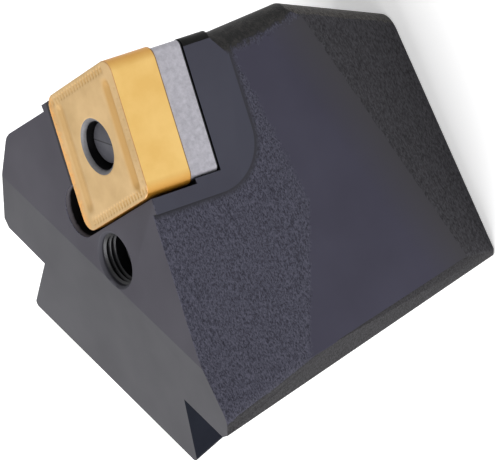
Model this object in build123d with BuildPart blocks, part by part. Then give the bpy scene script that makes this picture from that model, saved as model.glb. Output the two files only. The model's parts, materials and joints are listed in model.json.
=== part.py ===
from build123d import *
import os
from math import atan2, cos, hypot, radians, sin, tan

# Frame: x = 0 is the seating plane of the shoulders, y = 0 the middle of the
# dovetail tongue, z = 0 the bottom face. +X points to the cutting corner.

# Head
head_height = 68.0
head_width = 72.4
end_lean = 8.8
shoulder_chamfer = 1.5
crease_x = 12.0
rake_tilt = 8.0

# Cast flanks that meet at the nose
nose_y = 7.8
flank_nose_x = 53.9
flank_angle = 40.9
flank_draft = 1.5
flank_nose_radius = 5.0
heel_angle = 46.5
heel_start_x = 13.5
heel_blend_radius = 40.0
cast_radius = 3.5
slight_bend = 8.0

# Undercut below the flanks
undercut_nose_x = 37.7
undercut_angle = 43.7
undercut_lean = 22.0
undercut_nose_radius = 4.0
ridge_radius = 1.0
bottom_radius = 0.6

# Milled facet across the front flank
facet_angle = 39.6
facet_lean = 7.5
facet_x = 6.0
facet_y = -26.7
facet_depth = 60.4

# Tapered dovetail tongue
tongue_depth = 13.0
tongue_root_width = 45.2
tongue_height = 46.0
tongue_undercut = 17.0
tongue_taper = 16.0
tongue_corner_radius = 0.9
tongue_root_depth = 2.0

# Cutting insert: a rhomb with a hole
insert_edge = 25.79
insert_corner_angle = 80.0
insert_thickness = 9.525
insert_nose_radius = 2.4
insert_hole_radius = 4.56
insert_hole_mouth = 0.6
groove_land = 0.5
groove_depth = 0.45
groove_slope = 55.0
ring_radius = 8.6
ring_drop = 0.1
ring_slope = 45.0
insert_reach = 25.5
insert_proud = 0.5

# Shim below the insert
shim_inset = 0.6
shim_thickness = 6.35
shim_corner_radius = 1.2
shim_chamfer = 0.3

# Insert pocket and the raised pads round it
wall_gap = 0.5
wall_step_depth = 10.3
shim_wall_gap = 0.14
pocket_corner_radius = 0.8
pad_offset = 12.25
pad_end = 14.25
pad_depth = 24.6
pad_corner_radius = 9.5
pad_nose_radius = 1.6
pad_nose_start = 8.8
pad_nose_depth = 21.6
pad_nose_end = 12.8
pad_sink = 6.0
relief_radius = 4.9
relief_along = 4.3
relief_outside = 0.9
relief_drop = 0.5

# Slotted pin that holds the shim
pin_radius = 6.0
pin_wall = 1.3
pin_clearance = 0.05
pin_slit = 1.2
pin_top_drop = 0.5
pin_sink = 6.0

# Lever screw
screw_back = 20.4
screw_aside = 8.1
screw_radius = 4.85
screw_clearance = 0.1
screw_recess = 5.8
screw_length = 27.8
screw_bore_spare = 2.6
countersink_radius = 5.5
hex_across_flats = 5.0
hex_depth = 4.6
screw_end_chamfer = 0.7
groove_width = 4.6
groove_neck_radius = 2.4

# Clamping lever
lever_pin_gap = 1.825
lever_top_depth = 1.75
lever_top_radius = 3.9
lever_top_height = 4.6
lever_top_chamfer = 0.3
lever_top_gap = 0.86
lever_roof_slope = 7.0
lever_neck_radius = 2.7
lever_width = 6.4
lever_heel_radius = 3.8
lever_tip_radius = 2.0
lever_tip_gap = 0.25
lever_travel = 0.6
chamber_radius = 5.4
chamber_gap = 0.3
slot_side_gap = 0.4

# Worked out from the sizes above
half_width = head_width / 2
half_corner = radians(insert_corner_angle / 2)
edge_offset = insert_edge * cos(half_corner) * sin(half_corner)
oversize = 4 * head_height
tilt = radians(rake_tilt)
rake_x_dir = Vector(cos(tilt), 0, -sin(tilt))
rake_normal = Vector(sin(tilt), 0, cos(tilt))
front_top = Plane(origin=(crease_x, 0, head_height), x_dir=rake_x_dir, z_dir=rake_normal)

# The rake plane starts at the insert's centre; its x axis points to the cutting corner
rake_origin = front_top.from_local_coords((insert_reach, nose_y, insert_proud))
rake = Plane(origin=rake_origin, x_dir=rake_x_dir, z_dir=rake_normal)
insert_middle = Plane(origin=rake_origin, z_dir=(0, 1, 0))
floor_depth = insert_thickness + shim_thickness
pivot_depth = floor_depth + pin_sink + lever_pin_gap + lever_heel_radius

# The lever works in the plane through the insert's centre and the screw
screw_distance = hypot(screw_back, screw_aside)
lever_x_dir = -(rake.x_dir * screw_back + rake.y_dir * screw_aside) / screw_distance
lever_plane = Plane(origin=rake_origin, x_dir=lever_x_dir, z_dir=lever_x_dir.cross(rake_normal))
lever_tip_reach = screw_distance - groove_neck_radius - lever_tip_gap - lever_tip_radius
lever_top_shift = insert_hole_radius - lever_top_radius - lever_top_gap
screw_axis = rake.shift_origin(rake.from_local_coords((-screw_back, -screw_aside, 0)))


def leaning_plane(angle, lean, point, side):
    """An outward facing plane that leans in towards the bottom."""
    level = cos(radians(lean))
    turn = radians(angle)
    normal = (sin(turn) * level, side * cos(turn) * level, -sin(radians(lean)))
    return Plane(origin=point, z_dir=normal)


def rhomb(grow, radius):
    """The insert's rhomb with its sides moved out by grow and its corners rounded."""
    long = (edge_offset + grow) / sin(half_corner)
    short = (edge_offset + grow) / cos(half_corner)
    with BuildSketch() as profile:
        with BuildLine():
            Polyline((long, 0), (0, short), (-long, 0), (0, -short), close=True)
        make_face()
        fillet(vertices(), radius=radius)
    return profile.sketch


def wedge(nose_x, middle_y, angle, radius=0, reach=-oversize):
    """A wide wedge in plan whose two sides meet at a sharp or rounded nose."""
    spread = oversize * tan(radians(angle))
    with BuildSketch() as profile:
        with BuildLine():
            Polyline(
                (nose_x, middle_y),
                (nose_x + reach, middle_y + spread),
                (nose_x + reach, middle_y - spread),
                close=True,
            )
        make_face()
        if radius:
            fillet(vertices().sort_by_distance((nose_x, middle_y))[0], radius=radius)
    return profile.sketch


def sharp_edges(shape):
    """The edges where two faces meet at more than a slight angle."""
    found = ShapeList()
    for edge in shape.edges():
        sides = [face for face in shape.faces() if edge in face.edges()]
        middle = edge @ 0.5
        bend = sides[0].normal_at(middle).get_angle(sides[-1].normal_at(middle))
        if bend > slight_bend:
            found.append(edge)
    return found


def on_casting(edge):
    """Whether an edge lies clear of the seating plane, the top and the bottom."""
    middle = edge.center()
    return middle.X > 1 and 1 < middle.Z < head_height - 1


# The undercut: two leaning faces that rise from the bottom edges and meet at a rounded nose
with BuildPart() as undercut:
    with BuildSketch(Plane.XY):
        add(wedge(undercut_nose_x, nose_y, undercut_angle))
    extrude(amount=head_height, taper=-undercut_lean)
    fillet(edges().sort_by(Axis.X)[-1], radius=undercut_nose_radius)

# The two raised pads below the cutting edges, each drawn on its own face
pad_face = Plane(
    origin=rake.from_local_coords((pad_offset * sin(half_corner), -pad_offset * cos(half_corner), 0)),
    x_dir=rake.x_dir * cos(half_corner) + rake.y_dir * sin(half_corner),
    z_dir=rake.x_dir * sin(half_corner) - rake.y_dir * cos(half_corner),
)
with BuildPart() as pads:
    with BuildSketch(pad_face):
        with BuildLine():
            Polyline(
                (-pad_end, pad_sink),
                (-pad_end, -pad_depth),
                (pad_nose_start, -pad_depth),
                (pad_nose_end, -pad_nose_depth),
                (pad_nose_end + pad_sink, -pad_nose_depth),
                (pad_nose_end + pad_sink, pad_sink),
                close=True,
            )
        make_face()
        fillet(vertices().group_by(Axis.X)[0].sort_by(Axis.Y)[0], radius=pad_corner_radius)
    extrude(amount=-pad_sink)
    mirror(about=insert_middle)
    with BuildSketch(rake.offset(pad_sink)):
        add(wedge(pad_offset / sin(half_corner), 0, insert_corner_angle / 2, pad_nose_radius))
    extrude(amount=-(pad_sink + pad_depth), mode=Mode.INTERSECT)

# The tongue: a dovetail in plan that also narrows towards its foot, run a little into the head
with BuildPart() as tongue:
    with BuildSketch(Plane.XY.offset(head_height)):
        with Locations((tongue_root_depth, 0)):
            Rectangle(tongue_root_depth + tongue_depth, head_width, align=(Align.MAX, Align.CENTER))
    extrude(amount=-tongue_height)
    for side in (-1, 1):
        root_corner = (0, side * tongue_root_width / 2, head_height)
        outward = Vector(tan(radians(tongue_undercut)), side, -tan(radians(tongue_taper)))
        split(bisect_by=Plane(origin=root_corner, z_dir=outward), keep=Keep.BOTTOM)
    back_edges = faces().sort_by(Axis.X)[0].edges().filter_by(Axis.Y, reverse=True)
    fillet(back_edges, radius=tongue_corner_radius)

# The head, cast first: a block with drafted flanks and leaning ends
with BuildPart() as head:
    heel_y = nose_y - (flank_nose_x - heel_start_x) * tan(radians(flank_angle))
    heel_drop = head_width * tan(radians(heel_angle))
    flank_rise = head_width * tan(radians(flank_angle))
    with BuildSketch(Plane.XY.offset(head_height)):
        with BuildLine():
            Polyline(
                (flank_nose_x, nose_y),
                (flank_nose_x - head_width, nose_y + flank_rise),
                (-head_width, nose_y + flank_rise),
                (-head_width, heel_y - heel_drop),
                (heel_start_x - head_width, heel_y - heel_drop),
                (heel_start_x, heel_y),
                close=True,
            )
        make_face()
        fillet(vertices().sort_by(Axis.X)[-1], radius=flank_nose_radius)
        fillet(vertices().sort_by_distance((heel_start_x, heel_y))[0], radius=heel_blend_radius)
    extrude(amount=-head_height, taper=flank_draft)
    split(bisect_by=Plane.YZ, keep=Keep.TOP)
    for side in (-1, 1):
        end = leaning_plane(0, end_lean, (0, side * half_width, head_height), side)
        split(bisect_by=end, keep=Keep.BOTTOM)
    fillet(sharp_edges(head.part).filter_by(on_casting), radius=cast_radius)

    # The undercut with its slightly rounded ridge, the foot's edge and the chamfered shoulders
    add(undercut.part, mode=Mode.INTERSECT)
    fillet(sharp_edges(head.part).filter_by(on_casting), radius=ridge_radius)
    foot = faces().sort_by(Axis.Z)[0].edges()
    fillet(foot.filter_by(lambda edge: edge.center().X > 1), radius=bottom_radius)
    for side in (-1, 1):
        end = leaning_plane(0, end_lean, (0, side * (half_width - shoulder_chamfer), head_height), side)
        split(bisect_by=Plane(origin=end.origin, z_dir=end.z_dir - Vector(1, 0, 0)), keep=Keep.BOTTOM)

    # Milled facet across the front flank
    facet_point = (facet_x, facet_y, head_height - facet_depth)
    split(bisect_by=leaning_plane(facet_angle, facet_lean, facet_point, -1), keep=Keep.BOTTOM)

    # Raised pads, then the sloping front top over them
    add(pads.part)
    split(bisect_by=front_top, keep=Keep.BOTTOM)
    add(tongue.part)

    # Insert pocket with its walls on the two sides away from the cutting corner
    with BuildSketch(rake.offset(pad_sink)):
        corner = -(edge_offset + wall_gap) / sin(half_corner)
        add(wedge(corner, 0, insert_corner_angle / 2, pocket_corner_radius, oversize))
    extrude(amount=-(pad_sink + wall_step_depth), mode=Mode.SUBTRACT)
    with BuildSketch(rake.offset(-wall_step_depth)):
        corner = -(edge_offset - shim_inset + shim_wall_gap) / sin(half_corner)
        add(wedge(corner, 0, insert_corner_angle / 2, pocket_corner_radius, oversize))
    extrude(amount=wall_step_depth - floor_depth, mode=Mode.SUBTRACT)

    # Corner relief bored beside the insert's inner corner
    with BuildSketch(rake.offset(pad_sink)):
        relief_x = relief_along * cos(half_corner) - relief_outside * sin(half_corner)
        relief_y = relief_along * sin(half_corner) + relief_outside * cos(half_corner)
        with Locations((relief_x - edge_offset / sin(half_corner), relief_y)):
            Circle(relief_radius)
    extrude(amount=-(pad_sink + floor_depth + relief_drop), mode=Mode.SUBTRACT)

    # Bore for the shim pin, and the lever's chamber below it
    with BuildSketch(rake.offset(-floor_depth)):
        Circle(pin_radius)
    extrude(amount=-pin_sink, mode=Mode.SUBTRACT)
    chamber_depth = pivot_depth + lever_heel_radius + chamber_gap
    with BuildSketch(rake.offset(-floor_depth)):
        Circle(chamber_radius)
    extrude(amount=floor_depth - chamber_depth, mode=Mode.SUBTRACT)
    slot_top = pivot_depth - lever_heel_radius - lever_travel
    with BuildSketch(lever_plane):
        with Locations((0, -slot_top)):
            Rectangle(screw_distance, chamber_depth - slot_top, align=(Align.MIN, Align.MAX))
    extrude(amount=lever_width / 2 + slot_side_gap, both=True, mode=Mode.SUBTRACT)

    # Screw bore with its countersink on the front top
    with BuildSketch(screw_axis.offset(-insert_proud)):
        Circle(screw_radius + screw_clearance)
    bore_depth = screw_recess + screw_length + screw_bore_spare
    extrude(amount=insert_proud - bore_depth, mode=Mode.SUBTRACT)
    with BuildSketch(screw_axis.offset(-insert_proud)):
        Circle(countersink_radius)
    extrude(
        amount=screw_radius + screw_clearance - countersink_radius,
        taper=45,
        mode=Mode.SUBTRACT,
    )

# Cutting insert: a groove behind the edges and a raised ring round the hole
with BuildPart() as insert:
    with BuildSketch(rake.offset(-insert_thickness)):
        add(rhomb(0, insert_nose_radius))
    extrude(amount=insert_thickness)
    with BuildSketch(rake):
        add(rhomb(-groove_land, insert_nose_radius - groove_land))
    extrude(amount=-groove_depth, taper=groove_slope, mode=Mode.SUBTRACT)
    with BuildSketch(rake.offset(-groove_depth)):
        Circle(ring_radius)
    extrude(amount=groove_depth - ring_drop, taper=ring_slope)
    with BuildSketch(rake):
        Circle(insert_hole_radius)
    extrude(amount=-insert_thickness, mode=Mode.SUBTRACT)
    with BuildSketch(rake.offset(-ring_drop)):
        Circle(insert_hole_radius + insert_hole_mouth)
    extrude(amount=-insert_hole_mouth, taper=45, mode=Mode.SUBTRACT)

# Shim: the same rhomb a little smaller, with broken edges
with BuildPart() as shim:
    with BuildSketch(rake.offset(-floor_depth)):
        add(rhomb(-shim_inset, shim_corner_radius))
        Circle(pin_radius, mode=Mode.SUBTRACT)
    extrude(amount=shim_thickness)
    rims = faces().filter_by(rake).edges()
    chamfer(rims, length=shim_chamfer)

# Shim pin: a slotted sleeve in the pocket floor
with BuildPart() as shim_pin:
    with BuildSketch(rake.offset(-(floor_depth + pin_sink))):
        Circle(pin_radius - pin_clearance)
        Circle(pin_radius - pin_clearance - pin_wall, mode=Mode.SUBTRACT)
        with Locations((pin_radius, 0)):
            Rectangle(2 * pin_radius, pin_slit, mode=Mode.SUBTRACT)
    extrude(amount=pin_sink + shim_thickness - pin_top_drop)

# Lever: a heel, a tapered arm to the screw's groove, and a leaning arm up the hole
# whose top is a low roof with its ridge across the lever
arm_rise = pivot_depth - lever_top_depth
arm_lean = atan2(lever_top_shift, arm_rise - lever_top_height / 2)
arm_plane = Plane(
    origin=lever_plane.from_local_coords((0, -pivot_depth, 0)),
    x_dir=lever_plane.x_dir * cos(arm_lean) - lever_plane.y_dir * sin(arm_lean),
    z_dir=lever_plane.z_dir,
)
with BuildPart() as lever:
    with BuildSketch(arm_plane):
        with BuildLine():
            Polyline(
                (0, 0),
                (lever_neck_radius, 0),
                (lever_neck_radius, arm_rise - lever_top_height),
                (lever_top_radius, arm_rise - lever_top_height + lever_top_chamfer),
                (lever_top_radius, arm_rise - lever_top_chamfer),
                (lever_top_radius - lever_top_chamfer, arm_rise),
                (0, arm_rise),
                close=True,
            )
        make_face()
    revolve(axis=Axis(arm_plane.origin, arm_plane.y_dir))
    ridge = arm_plane.from_local_coords((0, arm_rise, 0))
    for side in (-1, 1):
        roof = arm_plane.y_dir + arm_plane.x_dir * side * tan(radians(lever_roof_slope))
        split(bisect_by=Plane(origin=ridge, z_dir=roof), keep=Keep.BOTTOM)
    with BuildSketch(lever_plane):
        with Locations((0, -pivot_depth)):
            Circle(lever_heel_radius)
        with Locations((lever_tip_reach, -pivot_depth)):
            Circle(lever_tip_radius)
        make_hull()
    extrude(amount=lever_width / 2, both=True)

# Lever screw: a hex socket above, a groove for the lever's tip below
with BuildPart() as lever_screw:
    with BuildSketch(screw_axis.offset(-(screw_recess + screw_length))):
        Circle(screw_radius)
    extrude(amount=screw_length)
    ends = faces().filter_by(screw_axis).edges()
    chamfer(ends, length=screw_end_chamfer)
    with BuildSketch(screw_axis.offset(-(pivot_depth + groove_width / 2))):
        Circle(screw_radius)
        Circle(groove_neck_radius, mode=Mode.SUBTRACT)
    extrude(amount=groove_width, mode=Mode.SUBTRACT)
    with BuildSketch(screw_axis.offset(-screw_recess)):
        RegularPolygon(hex_across_flats / 2, 6, major_radius=False)
    extrude(amount=-hex_depth, mode=Mode.SUBTRACT)

os.makedirs("parts", exist_ok=True)
pieces = {
    "head_body": head,
    "cutting_insert": insert,
    "shim": shim,
    "shim_pin": shim_pin,
    "clamping_lever": lever,
    "lever_screw": lever_screw,
}
for name, piece in pieces.items():
    piece.part.label = name
    export_step(piece.part, f"parts/{name}.step")
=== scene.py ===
import json
from math import cos, pi, radians, sin, tan

import bmesh
import bpy
from mathutils import Matrix, Vector


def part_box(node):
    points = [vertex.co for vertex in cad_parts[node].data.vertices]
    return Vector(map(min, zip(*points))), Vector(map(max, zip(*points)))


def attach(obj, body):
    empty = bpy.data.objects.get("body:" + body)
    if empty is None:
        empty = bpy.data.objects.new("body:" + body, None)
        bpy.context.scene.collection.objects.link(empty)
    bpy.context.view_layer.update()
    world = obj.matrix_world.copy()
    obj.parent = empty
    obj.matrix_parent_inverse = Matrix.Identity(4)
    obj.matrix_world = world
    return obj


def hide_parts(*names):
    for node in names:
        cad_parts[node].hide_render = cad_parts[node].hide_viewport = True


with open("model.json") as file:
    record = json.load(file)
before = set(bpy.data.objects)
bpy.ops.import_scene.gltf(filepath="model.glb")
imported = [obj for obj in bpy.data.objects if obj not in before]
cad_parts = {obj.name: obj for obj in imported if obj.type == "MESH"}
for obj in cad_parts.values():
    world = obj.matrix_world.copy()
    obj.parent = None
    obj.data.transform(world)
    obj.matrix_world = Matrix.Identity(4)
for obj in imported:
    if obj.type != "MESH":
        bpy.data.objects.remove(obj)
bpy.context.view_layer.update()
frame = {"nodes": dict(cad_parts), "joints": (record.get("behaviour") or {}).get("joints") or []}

mm = 0.001

# Where the insert sits: the rake plane starts at the insert's centre on its top face
screw_joint = next(joint for joint in frame["joints"] if joint["type"] == "slide")
rake_normal = Vector(screw_joint["axis"]).normalized()
rake_x = Vector((rake_normal.z, 0, -rake_normal.x))
rake_y = Vector((0, 1, 0))
head_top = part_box("head_body")[1].z
crease_x = 12.0 * mm
insert_reach = 25.5 * mm
insert_proud = 0.5 * mm
nose_y = 7.8 * mm
rake_origin = Vector((crease_x, nose_y, head_top)) + rake_x * insert_reach + rake_normal * insert_proud
rake_frame = Matrix.Translation(rake_origin) @ Matrix((rake_x, rake_y, rake_normal)).transposed().to_4x4()

# Cutting insert; its near side faces the camera, with an outward and a lengthwise direction
half_corner = radians(40)
near_side = rake_x * sin(half_corner) - rake_y * cos(half_corner)
side_run = rake_x * cos(half_corner) + rake_y * sin(half_corner)
edge_distance = 12.7 * mm
insert_thickness = 9.525 * mm
insert_nose_radius = 2.5 * mm
hone = 0.1 * mm
side_cuts = 150
corner_segments = 10
least_side = 5 * mm
same_place = 0.01 * mm
insert_smooth_angle = radians(40)

# The hole of the insert, with its curved mouth
hole_radius = 4.56 * mm
hole_mouth = 0.75 * mm
hole_segments = 128
mouth_margin = 0.3 * mm
mouth_curve_out = 0.15 * mm
mouth_curve_down = 0.62

# Rise of a face's normal that tells the mouth and the flanks from the other faces
mouth_rise = 0.2
flank_rise = 0.3

# Rings on the insert's top: their distances from its sides, and how far each is inset before it is scaled
ring_inset = 0.001 * mm
first_ring = 0.3 * mm
fine_ring = 0.15 * mm
coarse_ring = 0.4 * mm
plateau_inset = 6.4 * mm

# Chip grooves along two of the insert's sides
land_width = 2.0 * mm
wall_width = 1.3 * mm
groove_end = 5.4 * mm
groove_depth = 0.5 * mm
groove_half_length = 11.0 * mm
groove_shift = 1.0 * mm
groove_taper = 2.2 * mm

# Dimples beside the grooves, and serrations along the other two sides
dimple_pitch = 1.9 * mm
dimple_inset = 0.95 * mm
dimple_radius = 0.36 * mm
dimple_depth = 0.07 * mm
tick_pitch = 1.12 * mm
tick_depth = 0.2 * mm
tick_start = 0.55 * mm
tick_rise = 0.3 * mm
tick_end = 2.2 * mm
tick_fall = 0.6 * mm
tick_half_length = 12.2 * mm
tick_fade = 0.2 * mm

# Bands where a tone changes on the insert and the small parts: where each begins and ends
pressed_band = 0.01 * mm, 0.2 * mm
shade_side_band = -2 * mm, 2 * mm
warm_band = 2.4 * mm - edge_distance, 0.3 * mm - edge_distance
corner_shade_band = 10.2 * mm, 12.6 * mm
flank_foot_shade_band = insert_thickness - 0.22 * mm, insert_thickness - 0.08 * mm
shim_foot_shade_band = insert_thickness + 5.85 * mm, insert_thickness + 5.95 * mm
lever_crease_band = 0.06 * mm, 0.14 * mm

# Lever screw and its bore, and the relief bore at the pocket's corner
screw_back = 20.4 * mm
screw_aside = 8.1 * mm
bore_radius = 4.95 * mm
relief_back = 17.04 * mm
relief_aside = 3.45 * mm
relief_radius = 4.9 * mm
relief_mouth = 0.65 * mm
screw_mouth = 1.2 * mm

# Thread of the screw bore
thread_pitch = 1.0 * mm
thread_height = 0.45 * mm
thread_half = 0.42 * thread_pitch
thread_flat = 0.15
thread_sink = 0.02 * mm
thread_turns = 3
thread_top = 0.6 * mm
turn_steps = 64
thread_smooth_angle = radians(30)

# Lever: its top is a low roof with its crease across the arm
lever_back = Vector((-screw_back, -screw_aside, 0)).normalized()
lever_arm = rake_x * lever_back.x + rake_y * lever_back.y
lever_crease_depth = 1.75 * mm
lever_crease_shift = -0.2 * mm

# The milled facet on the front flank: two sloping limits, seen from the side, and its end at the nose
flank_angle = radians(40.9)
facet_nose_limit = Vector((24.0, 0, 34.6)) * mm, Vector((-0.125, 0, 1))
facet_heel_limit = Vector((24.5, 0, 35.2)) * mm, Vector((0.68, 0, 1))
facet_end = Vector((48.4, 0, 0)) * mm, Vector((1, 0, 0))

# The undercut below the front flank
undercut_angle = radians(43.7)
undercut_lean = radians(22)
undercut_point = Vector((37.7, 7.8, 0)) * mm
undercut_level = Vector((sin(undercut_angle), -cos(undercut_angle), 0))
undercut_normal = undercut_level * cos(undercut_lean) - Vector((0, 0, sin(undercut_lean)))

# The raised pads below the pocket
pad_offset = 12.25 * mm
pad_end = 14.25 * mm
pad_depth = 24.6 * mm
pad_corner_radius = 9.5 * mm
pad_step = 1.1 * mm
pad_nose_radius = 1.6 * mm
pad_nose_reach = (pad_offset - pad_nose_radius) / sin(half_corner)

# The painted shadow line along the pocket wall, from the relief bore towards the nose
wall_shadow_reach = 11.5 * mm
wall_shadow_band = 1.4 * mm, 1.6 * mm

# Bands where a tone changes on the head, and how far an uneven one strays
facet_band = -0.45 * mm, 0.45 * mm
facet_stray = 0.7 * mm
ridge_band = -2.2 * mm, -0.2 * mm
nose_shade_band = 0.1 * mm, 0.9 * mm
pad_band = -0.1 * mm, 0.1 * mm
pad_step_band = 0.2 * pad_step, 1.2 * pad_step
# How far the edge of a painted shade strays, and how far it fades in
shade_stray = 0.12 * mm
shade_fade = 0.5 * mm

# Cosines, margins and depths that tell the head's faces apart
facing = 0.999
facing_up = 0.9999
face_margin = 0.05 * mm
relief_margin = 0.1 * mm
screw_margin = 1.0 * mm
foot_margin = 2 * mm
slope_depth = 2 * mm

# How the head's mesh is merged, rounded and shaded
merge_distance = 0.002 * mm
flat_angle = radians(0.4)
edge_round = 0.12 * mm
round_angle = radians(20)
round_least_length = 0.5 * mm
crease_angle = radians(4)
crease_least_area = 60 * mm * mm
head_smooth_angle = radians(50)

# Linear tones of the casting and its machined faces; pairs go from dark to light
cast_tones = (0.008, 0.008, 0.017), (0.090, 0.089, 0.124)
# Darker copy of the cast skin for faces that look down: painted shade
cast_below_shade_tones = (0.010, 0.0095, 0.012), (0.056, 0.054, 0.062)
cast_end_tones = (0.008, 0.0075, 0.0085), (0.046, 0.044, 0.049)
cast_nose_tones = (0.018, 0.016, 0.015), (0.098, 0.092, 0.087)
top_tones = (0.046, 0.045, 0.052), (0.061, 0.060, 0.068)
# The sloping top's tones are darker than the flat top's: painted shade
slope_shade_tones = (0.037, 0.034, 0.046), (0.049, 0.046, 0.059)
milled_tones = (0.036, 0.034, 0.055), (0.043, 0.041, 0.065)
pad_tones = (0.040, 0.040, 0.058), (0.048, 0.049, 0.069)
# Painted shade on the pads' rounded noses, which face away from the light
pad_nose_shade_tones = (0.006, 0.006, 0.006), (0.010, 0.010, 0.009)
# Painted shade on the dovetail's flanks
dovetail_shade_tones = (0.007, 0.009, 0.017), (0.011, 0.014, 0.024)
# Painted shade on the front flank's nose, speckled
nose_shade_tones = (0.009, 0.009, 0.009), (0.03, 0.028, 0.027)
# Painted shade on the strip beside the pad
pad_step_shade_tone = (0.026, 0.026, 0.034)
ridge_tone = (0.042, 0.040, 0.047)
# Painted shadow along the pocket wall beside the insert
wall_shadow_tone = (0.008, 0.006, 0.008)
relief_tone = (0.20, 0.195, 0.23)
screw_bore_tone = (0.062, 0.061, 0.073)
# Painted shade deep in the bores and the pocket
deep_bore_shade_tone = (0.006, 0.006, 0.007)

# Linear tones of the insert and the small parts
coated_top_tones = (0.45, 0.295, 0.125), (0.55, 0.375, 0.18)
# Brown of the grooves: partly their own tint, partly painted shade
groove_tint_and_shade_tone = (0.43, 0.25, 0.075)
warm_rim_tone = (0.74, 0.34, 0.07)
coated_flank_tones = (0.665, 0.41, 0.115), (0.735, 0.485, 0.16)
# Painted shade on the flank's rounded corners, which turn away from the light
corner_shade_tone = (0.50, 0.22, 0.02)
# Painted shade along the insert flank's foot, where it meets the shim
flank_foot_shade_tone = (0.12, 0.06, 0.02)
hone_tones = (0.40, 0.20, 0.07), (0.50, 0.27, 0.10)
mouth_tones = (0.085, 0.083, 0.09), (0.15, 0.147, 0.157)
# Painted shade: the insert's hole wall nearly black
hole_shade_tones = (0.004, 0.004, 0.005), (0.008, 0.008, 0.009)
shim_tones = (0.34, 0.33, 0.37), (0.53, 0.52, 0.57)
# Painted shade along the shim's foot
shim_foot_shade_tone = (0.004, 0.004, 0.005)
thread_tones = (0.012, 0.012, 0.013), (0.03, 0.03, 0.033)
pin_tones = (0.05, 0.05, 0.055), (0.08, 0.08, 0.085)
lever_tones = (0.056, 0.056, 0.069), (0.078, 0.078, 0.091)
lever_crease_tone = (0.01, 0.01, 0.012)
screw_tones = (0.09, 0.09, 0.095), (0.19, 0.19, 0.20)

# Cast grain: its fineness in patches per metre, its depth times its fineness, and how far it is drawn out
cast_fineness = 3500
cast_end_fineness = 3000
rough_fineness = 2300
grain_depth = 150 * mm
grain_length = 1.9

# Bands of a noise's value over which a tone or a height changes
cloud_band = 0.35, 0.65
full_band = 0.3, 0.7
rough_nose_band = 0.45, 0.65
pit_band = 0.38, 0.62
crumb_band = 0.4, 0.6

# Finish of the head's steel
head_metallic = 0.35
head_gloss = 0.3
cast_roughness = 0.58
milled_roughness = 0.5

# Floor, surroundings and lamps, each lamp with its place from the aim and its power
floor_tones = (0.55, 0.55, 0.56), (0.93, 0.93, 0.93)
floor_glow = 0.4
floor_half_size = 6.0
floor_drop = 0.05 * mm
sky_strength = 0.3
sky_strength_seen = 1.0
lamp_aim = Vector((20, 0, 35)) * mm
lamp_size = 1.2
lamps = (("top_lamp", Vector((-0.6, -0.2, 1.4)), 24), ("front_lamp", Vector((0.2, -1.5, 0.4)), 11.5))


# Node helpers

def new_material(name):
    """A material with the node tree to add to and its Principled shader."""
    material = bpy.data.materials.new(name)
    material.use_nodes = True
    tree = material.node_tree
    return material, tree, tree.nodes["Principled BSDF"]


def new_skin(name):
    """A material of the object, with its node tree, its shader and the places on the object."""
    material, tree, shader = new_material(name)
    return material, tree, shader, tree.nodes.new("ShaderNodeTexCoord").outputs["Object"]


def feed(tree, socket, value):
    """Links another node's output to a socket, or sets the socket to a value."""
    if isinstance(value, bpy.types.NodeSocket):
        tree.links.new(value, socket)
    else:
        socket.default_value = value


def set_surface(tree, shader, colour, relief, metallic, roughness, gloss=0.5):
    """Gives a shader its colour and bump, each another node's output, and its finish."""
    tree.links.new(colour, shader.inputs["Base Color"])
    tree.links.new(relief, shader.inputs["Normal"])
    shader.inputs["Metallic"].default_value = metallic
    shader.inputs["Specular IOR Level"].default_value = gloss
    feed(tree, shader.inputs["Roughness"], roughness)


def drawn_out(tree, place, angle, length):
    """Coordinates on which a pattern is longer along a level direction, by an angle from X."""
    node = tree.nodes.new("ShaderNodeMapping")
    node.vector_type = "TEXTURE"
    node.inputs["Rotation"].default_value = (0, 0, angle)
    node.inputs["Scale"].default_value = (length, 1, 1)
    tree.links.new(place, node.inputs["Vector"])
    return node.outputs["Vector"]


def noise(tree, vector, scale, detail, roughness=0.55):
    """A noise texture's value; scale counts patches per metre."""
    node = tree.nodes.new("ShaderNodeTexNoise")
    node.inputs["Scale"].default_value = scale
    node.inputs["Detail"].default_value = detail
    node.inputs["Roughness"].default_value = roughness
    tree.links.new(vector, node.inputs["Vector"])
    return node.outputs["Fac"]


def spread(tree, value, low, high, to_low=0.0, to_high=1.0):
    """The value's range from low to high, spread over another range and held at its ends."""
    node = tree.nodes.new("ShaderNodeMapRange")
    node.inputs["From Min"].default_value = low
    node.inputs["From Max"].default_value = high
    node.inputs["To Min"].default_value = to_low
    node.inputs["To Max"].default_value = to_high
    tree.links.new(value, node.inputs["Value"])
    return node.outputs["Result"]


def ragged_shift(tree, pattern, reach):
    """An uneven shift for a boundary, up to a reach to either side."""
    return spread(tree, pattern, *full_band, -reach, reach)


def mixed_colour(tree, factor, first, second):
    """A colour between two, each a tone or another node's output."""
    node = tree.nodes.new("ShaderNodeMix")
    node.data_type = "RGBA"
    tree.links.new(factor, node.inputs["Factor"])
    for socket, colour in ((node.inputs[6], first), (node.inputs[7], second)):
        feed(tree, socket, (*colour, 1.0) if isinstance(colour, tuple) else colour)
    return node.outputs[2]


def mixed_relief(tree, factor, first, second):
    """A bump normal between two others."""
    node = tree.nodes.new("ShaderNodeMix")
    node.data_type = "VECTOR"
    tree.links.new(factor, node.inputs["Factor"])
    tree.links.new(first, node.inputs[4])
    tree.links.new(second, node.inputs[5])
    return node.outputs[1]


def bump(tree, height, distance, strength, below=None):
    """A bump normal from a height, laid over another one if given."""
    node = tree.nodes.new("ShaderNodeBump")
    node.inputs["Distance"].default_value = distance
    node.inputs["Strength"].default_value = strength
    tree.links.new(height, node.inputs["Height"])
    if below is not None:
        tree.links.new(below, node.inputs["Normal"])
    return node.outputs["Normal"]


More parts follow.
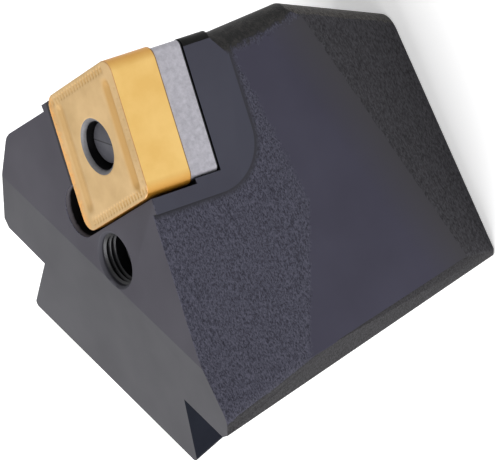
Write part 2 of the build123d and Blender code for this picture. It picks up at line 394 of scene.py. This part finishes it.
def worked_out(tree, operation, first, second=0.0):
    """The result of an operation on one or two values, each a number or another node's output."""
    node = tree.nodes.new("ShaderNodeMath")
    node.operation = operation
    feed(tree, node.inputs[0], first)
    feed(tree, node.inputs[1], second)
    return node.outputs[0]


def plane_height(tree, place, point, direction):
    """How far a place lies beyond a plane through a point, along a direction."""
    node = tree.nodes.new("ShaderNodeVectorMath")
    node.operation = "DOT_PRODUCT"
    tree.links.new(place, node.inputs[0])
    node.inputs[1].default_value = direction
    return worked_out(tree, "SUBTRACT", node.outputs["Value"], direction.dot(point))


# Materials of the head

def cast_grain(tree, place, dark, light, fineness):
    """Colour and bump of the grained casting skin: pits and crumbs over broad patches."""
    along_flank = drawn_out(tree, place, flank_angle, grain_length)
    patches = noise(tree, place, scale=420, detail=3.0)
    large = noise(tree, along_flank, scale=fineness, detail=2.0, roughness=0.6)
    small = noise(tree, along_flank, scale=1.8 * fineness, detail=1.0, roughness=0.5)
    pit = spread(tree, large, *pit_band, to_high=0.6)
    crumb = spread(tree, small, *crumb_band, to_high=0.4)
    speck = worked_out(tree, "ADD", pit, crumb)
    coarse = bump(tree, patches, distance=0.2 * mm, strength=0.35)
    relief = bump(tree, speck, distance=grain_depth / fineness, strength=1.0, below=coarse)
    return mixed_colour(tree, speck, dark, light), relief


def cast_skin(name, tones, fineness):
    """Dark, grained skin of the casting."""
    material, tree, shader, place = new_skin(name)
    colour, relief = cast_grain(tree, place, *tones, fineness)
    set_surface(tree, shader, colour, relief, head_metallic, cast_roughness, head_gloss)
    return material


def milled_grain(tree, place, dark, light):
    """Colour and bump of a milled face: faint clouds and a fine roughness."""
    clouds = noise(tree, place, scale=60, detail=3.0)
    fine = noise(tree, place, scale=2600, detail=2.0)
    colour = mixed_colour(tree, spread(tree, clouds, *cloud_band), dark, light)
    return colour, bump(tree, fine, distance=0.02 * mm, strength=0.25)


def machined_skin(name, tones, roughness=milled_roughness, gloss=head_gloss):
    """Blackened steel with the faint marks of a milling cutter."""
    material, tree, shader, place = new_skin(name)
    colour, relief = milled_grain(tree, place, *tones)
    set_surface(tree, shader, colour, relief, head_metallic, roughness, gloss)
    return material


def slope_skin():
    """The sloping top: machined, toned darker than the flat top as painted shade, with a painted shadow
    line along the pocket wall beside the insert.
    """
    material, tree, shader, place = new_skin("machined_slope_shade")
    colour, relief = milled_grain(tree, place, *slope_shade_tones)
    # A painted shadow line beside the insert, fading in from the relief bore
    from_wall = plane_height(tree, place, rake_origin - near_side * edge_distance, -near_side)
    from_bore = plane_height(tree, place, rake_origin - side_run * wall_shadow_reach, side_run)
    shift = ragged_shift(tree, noise(tree, place, scale=500, detail=3.0, roughness=0.6), shade_stray)
    edge = worked_out(tree, "ABSOLUTE", worked_out(tree, "ADD", from_wall, shift))
    beside = spread(tree, edge, *wall_shadow_band, to_low=1.0, to_high=0.0)
    wall_shadow = worked_out(tree, "MULTIPLY", beside, spread(tree, from_bore, 0.0, shade_fade))
    darkened = mixed_colour(tree, wall_shadow, colour, wall_shadow_tone)
    set_surface(tree, shader, darkened, relief, head_metallic, milled_roughness, head_gloss)
    return material


def outside_pad(tree, place):
    """How far a place on the front flank lies outside the near pad's outline, round its corner."""
    pad_foot = rake_origin - rake_normal * (pad_depth - pad_corner_radius)
    pad_edge = rake_origin - side_run * (pad_end - pad_corner_radius)
    past_end = worked_out(tree, "MAXIMUM", plane_height(tree, place, pad_edge, -side_run), 0.0)
    past_foot = worked_out(tree, "MAXIMUM", plane_height(tree, place, pad_foot, -rake_normal), 0.0)
    end_square = worked_out(tree, "POWER", past_end, 2.0)
    foot_square = worked_out(tree, "POWER", past_foot, 2.0)
    length = worked_out(tree, "SQRT", worked_out(tree, "ADD", end_square, foot_square))
    return worked_out(tree, "SUBTRACT", length, pad_corner_radius)


def front_skin():
    """The front flank: cast, with a milled facet that fades into it, a smooth strip beside the pad and a
    speckled nose, both darkened as painted shade.
    """
    material, tree, shader, place = new_skin("front_skin")
    cast_colour, cast_relief = cast_grain(tree, place, *cast_tones, cast_fineness)
    milled_colour, milled_relief = milled_grain(tree, place, *milled_tones)

    # The cast part begins raggedly above the facet's two limits and past its end
    rough = noise(tree, place, scale=900, detail=4.0, roughness=0.7)
    shift = ragged_shift(tree, rough, facet_stray)
    over_nose = plane_height(tree, place, *facet_nose_limit)
    over_heel = plane_height(tree, place, *facet_heel_limit)
    past_facet = plane_height(tree, place, *facet_end)
    outside = worked_out(tree, "MAXIMUM", worked_out(tree, "MINIMUM", over_nose, over_heel), past_facet)
    cast_part = spread(tree, worked_out(tree, "ADD", outside, shift), *facet_band)

    from_pad = outside_pad(tree, place)
    # A strip beside the pad: smooth like a milled run-out, and darkened as painted shade
    step_part = spread(tree, from_pad, *pad_step_band, to_low=1.0, to_high=0.0)
    pad_part = spread(tree, from_pad, *pad_band, to_low=1.0, to_high=0.0)
    from_ridge = plane_height(tree, place, undercut_point, undercut_normal)
    ridge_part = spread(tree, from_ridge, *ridge_band)
    # Painted shade past the facet's end, where the nose turns away from the light
    nose_shade = spread(tree, worked_out(tree, "ADD", past_facet, shift), *nose_shade_band)

    step_shaded = mixed_colour(tree, step_part, cast_colour, pad_step_shade_tone)
    edged = mixed_colour(tree, ridge_part, milled_colour, ridge_tone)
    blended = mixed_colour(tree, cast_part, edged, step_shaded)
    padded = mixed_colour(tree, pad_part, blended, pad_tones[1])
    nose_shade_colour = mixed_colour(tree, spread(tree, rough, *rough_nose_band), *nose_shade_tones)
    colour = mixed_colour(tree, nose_shade, padded, nose_shade_colour)
    grained = worked_out(tree, "MULTIPLY", cast_part, worked_out(tree, "SUBTRACT", 1.0, step_part))
    relief = mixed_relief(tree, grained, milled_relief, cast_relief)
    roughness = spread(tree, cast_part, 0.0, 1.0, milled_roughness, cast_roughness)
    set_surface(tree, shader, colour, relief, head_metallic, roughness, head_gloss)
    return material


def bore_skin(name, mouth_tone, mouth_depth):
    """Walls of a bore: of their own tone near the mouth, and black further down as painted shade."""
    material, tree, shader, place = new_skin(name)
    depth = plane_height(tree, place, rake_origin - rake_normal * insert_proud, -rake_normal)
    rough = noise(tree, place, scale=900, detail=3.0)
    edge = worked_out(tree, "ADD", depth, ragged_shift(tree, rough, shade_stray))
    below = spread(tree, edge, mouth_depth, mouth_depth + shade_fade)
    colour = mixed_colour(tree, below, mouth_tone, deep_bore_shade_tone)
    relief = bump(tree, rough, distance=0.03 * mm, strength=0.3)
    set_surface(tree, shader, colour, relief, metallic=0.2, roughness=0.55, gloss=0.08)
    return material


# Materials of the insert and the small parts

def gold_skin(name, tones, roughness, metallic, tinted=None):
    """A gold coating with slight changes of tone, tinted further by a function if one is given."""
    material, tree, shader, place = new_skin(name)
    patches = noise(tree, place, scale=150, detail=4.0)
    fine = noise(tree, place, scale=1800, detail=3.0)
    colour = mixed_colour(tree, spread(tree, patches, *cloud_band), *tones)
    if tinted is not None:
        colour = tinted(tree, place, plane_height(tree, place, rake_origin, -rake_normal), colour)
    relief = bump(tree, fine, distance=0.015 * mm, strength=0.3)
    uneven = spread(tree, patches, *full_band, roughness - 0.05, roughness + 0.06)
    set_surface(tree, shader, colour, relief, metallic, uneven)
    return material


def top_tint(tree, place, depth, colour):
    """Browner where the chip grooves are pressed in, partly their own tint and partly painted shade, and
    warmer along the far side.
    """
    across = plane_height(tree, place, rake_origin, near_side)
    # The groove's painted shade is full on the near side and half as strong on the far side
    shade_side = spread(tree, across, *shade_side_band, to_low=0.5)
    pressed = worked_out(tree, "MULTIPLY", spread(tree, depth, *pressed_band), shade_side)
    grooved = mixed_colour(tree, pressed, colour, groove_tint_and_shade_tone)
    stains = noise(tree, place, scale=700, detail=4.0, roughness=0.7)
    blotches = spread(tree, stains, *cloud_band, to_low=0.15, to_high=0.9)
    rim = spread(tree, across, *warm_band)
    return mixed_colour(tree, worked_out(tree, "MULTIPLY", rim, blotches), grooved, warm_rim_tone)


def flank_tint(tree, place, depth, colour):
    """Darker orange on the rounded corners and brown along the foot, both painted shade."""
    flank_middle = rake_origin + side_run * edge_distance / tan(2 * half_corner)
    run = worked_out(tree, "ABSOLUTE", plane_height(tree, place, flank_middle, side_run))
    corner_shaded = mixed_colour(tree, spread(tree, run, *corner_shade_band), colour, corner_shade_tone)
    # Painted shade along the foot, where the insert meets the shim
    foot = spread(tree, depth, *flank_foot_shade_band)
    return mixed_colour(tree, foot, corner_shaded, flank_foot_shade_tone)


def ground_carbide(name, tones, shade_band=None):
    """Pale ground carbide with fine specks, painted black below a band of depths as shade if one is given.
    """
    material, tree, shader, place = new_skin(name)
    specks = noise(tree, place, scale=900, detail=6.0, roughness=0.75)
    colour = mixed_colour(tree, spread(tree, specks, *full_band), *tones)
    if shade_band is not None:
        depth = plane_height(tree, place, rake_origin, -rake_normal)
        colour = mixed_colour(tree, spread(tree, depth, *shade_band), colour, shim_foot_shade_tone)
    relief = bump(tree, specks, distance=0.02 * mm, strength=0.3)
    uneven = spread(tree, specks, *full_band, to_low=0.42, to_high=0.55)
    set_surface(tree, shader, colour, relief, metallic=0.3, roughness=uneven)
    return material


def dark_steel(name, tones, roughness, crease=None, gloss=0.5):
    """Oiled dark steel of the small parts, with a fine dark line across a crease if one is given."""
    material, tree, shader, place = new_skin(name)
    clouds = noise(tree, place, scale=300, detail=4.0)
    colour = mixed_colour(tree, spread(tree, clouds, *cloud_band), *tones)
    if crease is not None:
        aside = worked_out(tree, "ABSOLUTE", plane_height(tree, place, *crease))
        colour = mixed_colour(tree, spread(tree, aside, *lever_crease_band), lever_crease_tone, colour)
    relief = bump(tree, clouds, distance=0.02 * mm, strength=0.2)
    uneven = spread(tree, clouds, *full_band, roughness, roughness + 0.08)
    set_surface(tree, shader, colour, relief, metallic=0.6, roughness=uneven, gloss=gloss)
    return material


# Mesh helpers

def finished_piece(name, bm, body, materials):
    """A new object from a bmesh, riding on its body, with its materials in order."""
    mesh = bpy.data.meshes.new(name)
    bm.to_mesh(mesh)
    bm.free()
    for material in materials:
        mesh.materials.append(material)
    piece = bpy.data.objects.new(name, mesh)
    bpy.context.scene.collection.objects.link(piece)
    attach(piece, body)
    return piece


def made(geometry, kind):
    """What an operator made of one kind, such as its vertices."""
    return [item for item in geometry if isinstance(item, kind)]


def open_edges(edges):
    """Those of some edges that have a face on one side only."""
    return [edge for edge in edges if edge.is_boundary]


def merged_copy(node):
    """A CAD node's mesh with its seams merged and its flat faces joined up."""
    bm = bmesh.new()
    bm.from_mesh(frame["nodes"][node].data)
    bmesh.ops.remove_doubles(bm, verts=bm.verts, dist=merge_distance)
    bmesh.ops.dissolve_limit(bm, angle_limit=flat_angle, verts=bm.verts, edges=bm.edges)
    return bm


def round_edges(bm, width, least_angle, least_length):
    """Breaks every edge that is sharper than an angle and has no short edge at its ends."""
    roomy = {
        vertex: all(edge.calc_length() > least_length for edge in vertex.link_edges) for vertex in bm.verts
    }
    sharp = [
        edge for edge in bm.edges
        if edge.is_manifold and edge.calc_face_angle() > least_angle
        and all(roomy[end] for end in edge.verts)
    ]
    bmesh.ops.bevel(
        bm, geom=sharp, offset=width, offset_type="OFFSET", segments=2, profile=0.5,
        affect="EDGES", clamp_overlap=False, material=-1,
    )
    bmesh.ops.remove_doubles(bm, verts=bm.verts, dist=merge_distance)


def flat_creases(bm):
    """The edges where two large flat faces meet, which stay crisp however slight their angle."""
    bm.edges.index_update()
    large = {face for face in bm.faces if face.calc_area() > crease_least_area}
    return [
        edge.index for edge in bm.edges
        if edge.calc_face_angle(0) > crease_angle and large.issuperset(edge.link_faces)
    ]


def weigh_normals(piece, creases):
    """Large flat faces keep their own shading beside small rounded ones."""
    for face in piece.data.polygons:
        face.use_smooth = True
    piece.data.set_sharp_from_angle(angle=head_smooth_angle)
    for index in creases:
        piece.data.edges[index].use_edge_sharp = True
    weighted = piece.modifiers.new("weighted", "WEIGHTED_NORMAL")
    weighted.keep_sharp = True
    weighted.weight = 100


# Head

def near_axis(middle, back, aside, radius):
    """Whether a place lies within a radius of a bore's axis, set back and aside on the rake plane."""
    place = middle - (rake_origin - rake_x * back + rake_y * aside)
    return (place - rake_normal * place.dot(rake_normal)).length < radius


def on_pad(normal, place):
    """Whether a face lies on the flat of either raised pad."""
    for side in (1, -1):
        outward = Vector((near_side.x, near_side.y * side, near_side.z))
        if normal.dot(outward) > facing and abs(place.dot(outward) - pad_offset) < face_margin:
            return True
    return False


def head_finish(face):
    """Which finish a face of the head has, told from the way it faces and where it lies."""
    normal = face.normal
    middle = face.calc_center_median()
    place = middle - rake_origin
    depth = -place.dot(rake_normal)
    if normal.z > facing_up:
        return "flat_top"
    # Ledges deep below the slope take the bore's skin, which paints them black as shade
    if normal.dot(rake_normal) > facing:
        return "sloped_top" if depth < slope_depth else "bore"
    if on_pad(normal, place):
        return "milled"
    if normal.x < -0.9 or normal.z < -facing:
        return "flat_top"
    # The dovetail's faces take machined steel painted dark as shade
    if middle.x < 0:
        return "dovetail"

    # Walls that run along the screw's axis: bores, the pocket and the pads' rounded ends
    inward = abs(normal.dot(rake_normal)) < 0.2
    if inward and near_axis(middle, relief_back, relief_aside, relief_radius + relief_margin):
        return "relief"
    if near_axis(middle, screw_back, -screw_aside, bore_radius + screw_margin):
        return "bore"
    # The pocket's walls take the bore's skin, painted black below the mouth as shade
    if inward and near_axis(middle, 0, 0, insert_reach) and normal.dot(place) < 0:
        return "bore"
    beside_pads = depth < pad_depth - foot_margin
    # The pads' rounded noses take machined steel painted dark as shade
    if inward and beside_pads and near_axis(middle, -pad_nose_reach, 0, pad_nose_radius + face_margin):
        return "pad_nose_shade"

    # The casting's skin, from the front round to the ends
    if normal.y < 0.7 and abs(normal.z) < 0.16 and normal.x > 0.2:
        return "front"
    # Faces that look down: at the nose a lighter cast skin, elsewhere a darker one as painted shade
    if normal.z < -0.2:
        return "cast_nose" if abs(normal.y) < 0.4 and normal.x > 0.7 else "cast_below_shade"
    if abs(normal.y) > 0.85 or normal.x < -0.2:
        return "cast_end"
    return "cast"


def make_head(skins):
    """The head with broken edges, cast and machined faces; skins are given by the names of finishes."""
    finishes = list(skins)
    bm = merged_copy("head_body")
    round_edges(bm, edge_round, round_angle, round_least_length)
    bm.normal_update()
    for face in bm.faces:
        face.material_index = finishes.index(head_finish(face))
    creases = flat_creases(bm)
    head = finished_piece("head_casting", bm, "head", skins.values())
    weigh_normals(head, creases)
    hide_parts("head_body")


# Insert

def smooth_step(value, low, high):
    """A soft rise from nought at low to one at high."""
    part = min(max((value - low) / (high - low), 0.0), 1.0)
    return part * part * (3 - 2 * part)


def groove_relief(inset, run):
    """The height along a grooved side: a long pressed groove and a row of dimples."""
    away = abs(run - groove_shift)
    reach = 1 - smooth_step(away, groove_half_length - groove_taper, groove_half_length)
    down = smooth_step(inset, land_width, land_width + wall_width)
    up = 1 - smooth_step(inset, land_width + wall_width, groove_end)
    step = (run + dimple_pitch / 2) % dimple_pitch - dimple_pitch / 2
    away = (step * step + (inset - dimple_inset) ** 2) ** 0.5
    inside = 1 if abs(run) < groove_half_length else 0
    dimple = inside * dimple_depth * (1 - smooth_step(away, 0.2 * dimple_radius, dimple_radius))
    return -groove_depth * reach * down * up - dimple


def serration_relief(inset, run):
    """The height along a serrated side: a row of short notches."""
    inside = 1 - smooth_step(abs(run), tick_half_length - tick_fade, tick_half_length)
    window = smooth_step(inset, tick_start, tick_start + tick_rise)
    window *= 1 - smooth_step(inset, tick_end - tick_fall, tick_end)
    wave = (0.5 + 0.5 * cos(2 * pi * run / tick_pitch)) ** 2
    return -inside * window * tick_depth * wave


def chip_relief(place):
    """The height of the insert's top at a place, from all four sides."""
    height = 0.0
    for way_x, way_y in ((1, 1), (1, -1), (-1, -1), (-1, 1)):
        outward = Vector((way_x * sin(half_corner), way_y * cos(half_corner), 0))
        along = Vector((-outward.y, outward.x, 0))
        inset = edge_distance - outward.dot(place)
        relief = groove_relief if way_x * way_y < 0 else serration_relief
        height += relief(inset, along.dot(place))
    return height


def scaled_ring(bm, face, scale, before):
    """Insets a face by shrinking its outline towards the middle."""
    bmesh.ops.inset_region(bm, faces=[face], thickness=ring_inset, use_boundary=True, use_even_offset=True)
    for vertex in face.verts:
        vertex.co.x *= scale / before
        vertex.co.y *= scale / before
        vertex.co.z = 0.0


def outline_face(bm, distance, radius):
    """The insert's rhomb with rounded corners and finely divided sides, as one face."""
    long = distance / sin(half_corner)
    short = distance / cos(half_corner)
    places = [Vector(place) for place in ((long, 0, 0), (0, short, 0), (-long, 0, 0), (0, -short, 0))]
    bm.faces.new([bm.verts.new(place) for place in places])
    for half_angle, ends in ((half_corner, places[0::2]), (pi / 2 - half_corner, places[1::2])):
        corners = [
            vertex for vertex in bm.verts if min((vertex.co - end).length for end in ends) < same_place
        ]
        bmesh.ops.bevel(
            bm, geom=corners, offset=radius / tan(half_angle), offset_type="OFFSET",
            segments=corner_segments, profile=0.5, affect="VERTICES", clamp_overlap=False, material=-1,
        )
    sides = [edge for edge in bm.edges if edge.calc_length() > least_side]
    bmesh.ops.subdivide_edges(bm, edges=sides, cuts=side_cuts)
    bm.faces.ensure_lookup_table()
    return bm.faces[0]


def ring_insets():
    """How far each ring of the insert's top lies from its sides, closest together in the grooves."""
    insets = [hone, first_ring, tick_start]
    while insets[-1] < land_width + wall_width:
        insets.append(insets[-1] + fine_ring)
    while insets[-1] < plateau_inset:
        insets.append(insets[-1] + coarse_ring)
    return insets


def insert_top(bm):
    """The top down to the circle round the hole; returns its outer edges and those of the circle."""
    top = outline_face(bm, edge_distance, insert_nose_radius)
    scale = 1.0
    for inset in ring_insets():
        next_scale = 1 - inset / edge_distance
        scaled_ring(bm, top, next_scale, scale)
        scale = next_scale
    rim = open_edges(bm.edges)
    inner_rim = top.edges[:]
    bm.faces.remove(top)
    mouth_radius = hole_radius + hole_mouth + mouth_margin
    mouth = bmesh.ops.create_circle(bm, segments=hole_segments, radius=mouth_radius)["verts"]
    mouth_edges = list({edge for vertex in mouth for edge in vertex.link_edges})
    bmesh.ops.bridge_loops(bm, edges=inner_rim + mouth_edges)
    for vertex in bm.verts:
        vertex.co.z = chip_relief(vertex.co)
    return rim, mouth_edges


def insert_hole(bm, loop):
    """The hole's curved mouth and wall, down from the circle on top; returns its lowest edges."""
    for radius, depth in (
        (hole_radius + hole_mouth, 0.0),
        (hole_radius + mouth_curve_out, -mouth_curve_down * hole_mouth),
        (hole_radius, -hole_mouth),
        (hole_radius, -insert_thickness),
    ):
        ring = bmesh.ops.extrude_edge_only(bm, edges=loop)["geom"]
        for vertex in made(ring, bmesh.types.BMVert):
            flat = Vector((vertex.co.x, vertex.co.y, 0)).normalized() * radius
            vertex.co = Vector((flat.x, flat.y, depth))
        loop = open_edges(made(ring, bmesh.types.BMEdge))
    return loop


def make_insert(skins):
    """The coated insert with its chip grooves, serrations and ground hole mouth."""
    finish = {name: index for index, name in enumerate(skins)}
    bm = bmesh.new()
    rim, mouth_edges = insert_top(bm)
    for edge in rim:
        edge.link_faces[0].material_index = finish["hone"]
        for vertex in edge.verts:
            vertex.co.z = -hone
    walls = bmesh.ops.extrude_edge_only(bm, edges=rim)["geom"]
    for vertex in made(walls, bmesh.types.BMVert):
        vertex.co.z = -insert_thickness
    foot_edges = open_edges(made(walls, bmesh.types.BMEdge))
    bmesh.ops.bridge_loops(bm, edges=foot_edges + insert_hole(bm, mouth_edges))
    bmesh.ops.recalc_face_normals(bm, faces=bm.faces)
    for face in bm.faces:
        face.smooth = True
        middle = face.calc_center_median()
        in_mouth = Vector((middle.x, middle.y, 0)).length < hole_radius + hole_mouth
        if in_mouth and face.normal.z > mouth_rise:
            face.material_index = finish["mouth"]
        elif in_mouth and middle.z < 0:
            face.material_index = finish["hole"]
        elif abs(face.normal.z) < flank_rise:
            face.material_index = finish["flank"]
    bmesh.ops.transform(bm, matrix=rake_frame, verts=bm.verts)
    insert = finished_piece("coated_insert", bm, "head", skins.values())
    insert.data.set_sharp_from_angle(angle=insert_smooth_angle)
    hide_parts("cutting_insert")


# Thread of the screw bore

def make_bore_thread(material):
    """The thread that shows on the wall of the bore above the screw."""
    bm = bmesh.new()
    wall = bore_radius + thread_sink
    crest = bore_radius - thread_height
    start = -insert_proud - thread_top
    places = (
        (wall, 0, start),
        (crest, 0, start - thread_half * (1 - thread_flat)),
        (crest, 0, start - thread_half * (1 + thread_flat)),
        (wall, 0, start - 2 * thread_half),
    )
    profile = [bm.verts.new(place) for place in places]
    edges = [bm.edges.new(pair) for pair in zip(profile, profile[1:])]
    edges.append(bm.edges.new((profile[-1], profile[0])))
    bmesh.ops.spin(
        bm, geom=profile + edges, cent=(0, 0, 0), axis=(0, 0, 1), angle=2 * pi * thread_turns,
        steps=turn_steps * thread_turns, dvec=(0, 0, -thread_pitch / turn_steps), use_duplicate=False,
    )
    bmesh.ops.holes_fill(bm, edges=open_edges(bm.edges))
    bmesh.ops.recalc_face_normals(bm, faces=bm.faces)
    bore_axis = Matrix.Translation(Vector((-screw_back, -screw_aside, 0)))
    bmesh.ops.transform(bm, matrix=rake_frame @ bore_axis, verts=bm.verts)
    thread = finished_piece("bore_thread", bm, "head", [material])
    for face in thread.data.polygons:
        face.use_smooth = True
    thread.data.set_sharp_from_angle(angle=thread_smooth_angle)


# Pieces that keep the CAD shape

def dress(node, material):
    """Gives a CAD node its material."""
    mesh = frame["nodes"][node].data
    mesh.materials.clear()
    mesh.materials.append(material)


# Stage

def seen(tree):
    """One for rays that show the surroundings: straight, mirrored or through glass."""
    rays = tree.nodes.new("ShaderNodeLightPath").outputs
    mirrored = worked_out(tree, "MAXIMUM", rays["Is Glossy Ray"], rays["Is Transmission Ray"])
    return worked_out(tree, "MAXIMUM", rays["Is Camera Ray"], mirrored)


def make_floor():
    """A pale floor that shows white to the camera and keeps the soft shadow."""
    bm = bmesh.new()
    lowered = Matrix.Translation((0, 0, -floor_drop))
    bmesh.ops.create_grid(bm, x_segments=1, y_segments=1, size=floor_half_size, matrix=lowered)
    mesh = bpy.data.meshes.new("floor")
    bm.to_mesh(mesh)
    bm.free()
    floor = bpy.data.objects.new("floor", mesh)
    bpy.context.scene.collection.objects.link(floor)
    material, tree, shader = new_material("pale_floor")
    in_view = seen(tree)
    tree.links.new(mixed_colour(tree, in_view, *floor_tones), shader.inputs["Base Color"])
    tree.links.new(spread(tree, in_view, 0.0, 1.0, to_high=floor_glow), shader.inputs["Emission Strength"])
    shader.inputs["Emission Color"].default_value = (1, 1, 1, 1)
    shader.inputs["Roughness"].default_value = 0.9
    mesh.materials.append(material)


def make_world():
    """Even white surroundings that light the object softly."""
    world = bpy.data.worlds.new("studio")
    bpy.context.scene.world = world
    world.use_nodes = True
    tree = world.node_tree
    background = tree.nodes["Background"]
    strength = spread(tree, seen(tree), 0.0, 1.0, sky_strength, sky_strength_seen)
    tree.links.new(strength, background.inputs["Strength"])
    background.inputs["Color"].default_value = (1, 1, 1, 1)


def make_lamp(name, place, aim, size, power):
    """A square soft lamp that points at a place."""
    light = bpy.data.lights.new(name, "AREA")
    light.shape = "SQUARE"
    light.size = size
    light.energy = power
    lamp = bpy.data.objects.new(name, light)
    bpy.context.scene.collection.objects.link(lamp)
    lamp.location = place
    lamp.rotation_euler = (aim - place).to_track_quat("-Z", "Y").to_euler()


def make_camera():
    """The photograph's view: a long lens, turned about its own axis as the picture is."""
    azimuth = radians(47.417)
    elevation = radians(25.31)
    roll = radians(-115.64)
    distance = 895 * mm
    aim = Vector((25.73, -15.87, 48.36)) * mm
    back = Vector((sin(azimuth) * cos(elevation), -cos(azimuth) * cos(elevation), sin(elevation)))
    data = bpy.data.cameras.new("camera")
    data.sensor_width = 36
    data.lens = 360
    camera = bpy.data.objects.new("camera", data)
    bpy.context.scene.collection.objects.link(camera)
    camera.location = aim + back * distance
    upright = back.to_track_quat("Z", "Y").to_matrix().to_4x4()
    camera.rotation_euler = (upright @ Matrix.Rotation(roll, 4, "Z")).to_euler()
    bpy.context.scene.camera = camera


# The whole object

make_head({
    "cast": cast_skin("cast_skin", cast_tones, cast_fineness),
    "cast_below_shade": cast_skin("cast_below_shade", cast_below_shade_tones, rough_fineness),
    "front": front_skin(),
    "flat_top": machined_skin("machined_top", top_tones),
    "sloped_top": slope_skin(),
    "milled": machined_skin("milled_pad", pad_tones),
    "dovetail": machined_skin("dovetail_flank_shade", dovetail_shade_tones, roughness=0.45, gloss=0.05),
    "relief": bore_skin("relief_wall", relief_tone, relief_mouth),
    "bore": bore_skin("screw_bore_wall", screw_bore_tone, screw_mouth),
    "cast_end": cast_skin("cast_end", cast_end_tones, cast_end_fineness),
    "cast_nose": cast_skin("cast_nose", cast_nose_tones, rough_fineness),
    "pad_nose_shade": machined_skin("pad_nose_shade", pad_nose_shade_tones, gloss=0.1),
})
make_insert({
    "top": gold_skin("coated_top", coated_top_tones, roughness=0.6, metallic=0.3, tinted=top_tint),
    "flank": gold_skin("coated_flank", coated_flank_tones, roughness=0.38, metallic=0.6, tinted=flank_tint),
    "mouth": ground_carbide("ground_mouth", mouth_tones),
    # The hole's wall is painted nearly black as shade
    "hole": dark_steel("hole_wall_shade", hole_shade_tones, roughness=0.5, gloss=0.05),
    "hone": gold_skin("honed_edge", hone_tones, roughness=0.45, metallic=0.4),
})
make_bore_thread(dark_steel("thread_steel", thread_tones, roughness=0.3))
dress("shim", ground_carbide("shim_carbide", shim_tones, shim_foot_shade_band))
dress("shim_pin", dark_steel("pin_steel", pin_tones, roughness=0.4))
crease_point = rake_origin + lever_arm * lever_crease_shift - rake_normal * lever_crease_depth
lever_crease = crease_point, lever_arm
dress("clamping_lever", dark_steel("lever_steel", lever_tones, roughness=0.42, crease=lever_crease))
dress("lever_screw", dark_steel("screw_steel", screw_tones, roughness=0.26))

make_floor()
make_world()
for lamp_name, lamp_offset, lamp_power in lamps:
    make_lamp(lamp_name, lamp_aim + lamp_offset, lamp_aim, lamp_size, lamp_power)
make_camera()

scene = bpy.context.scene
scene.view_settings.view_transform = "Standard"
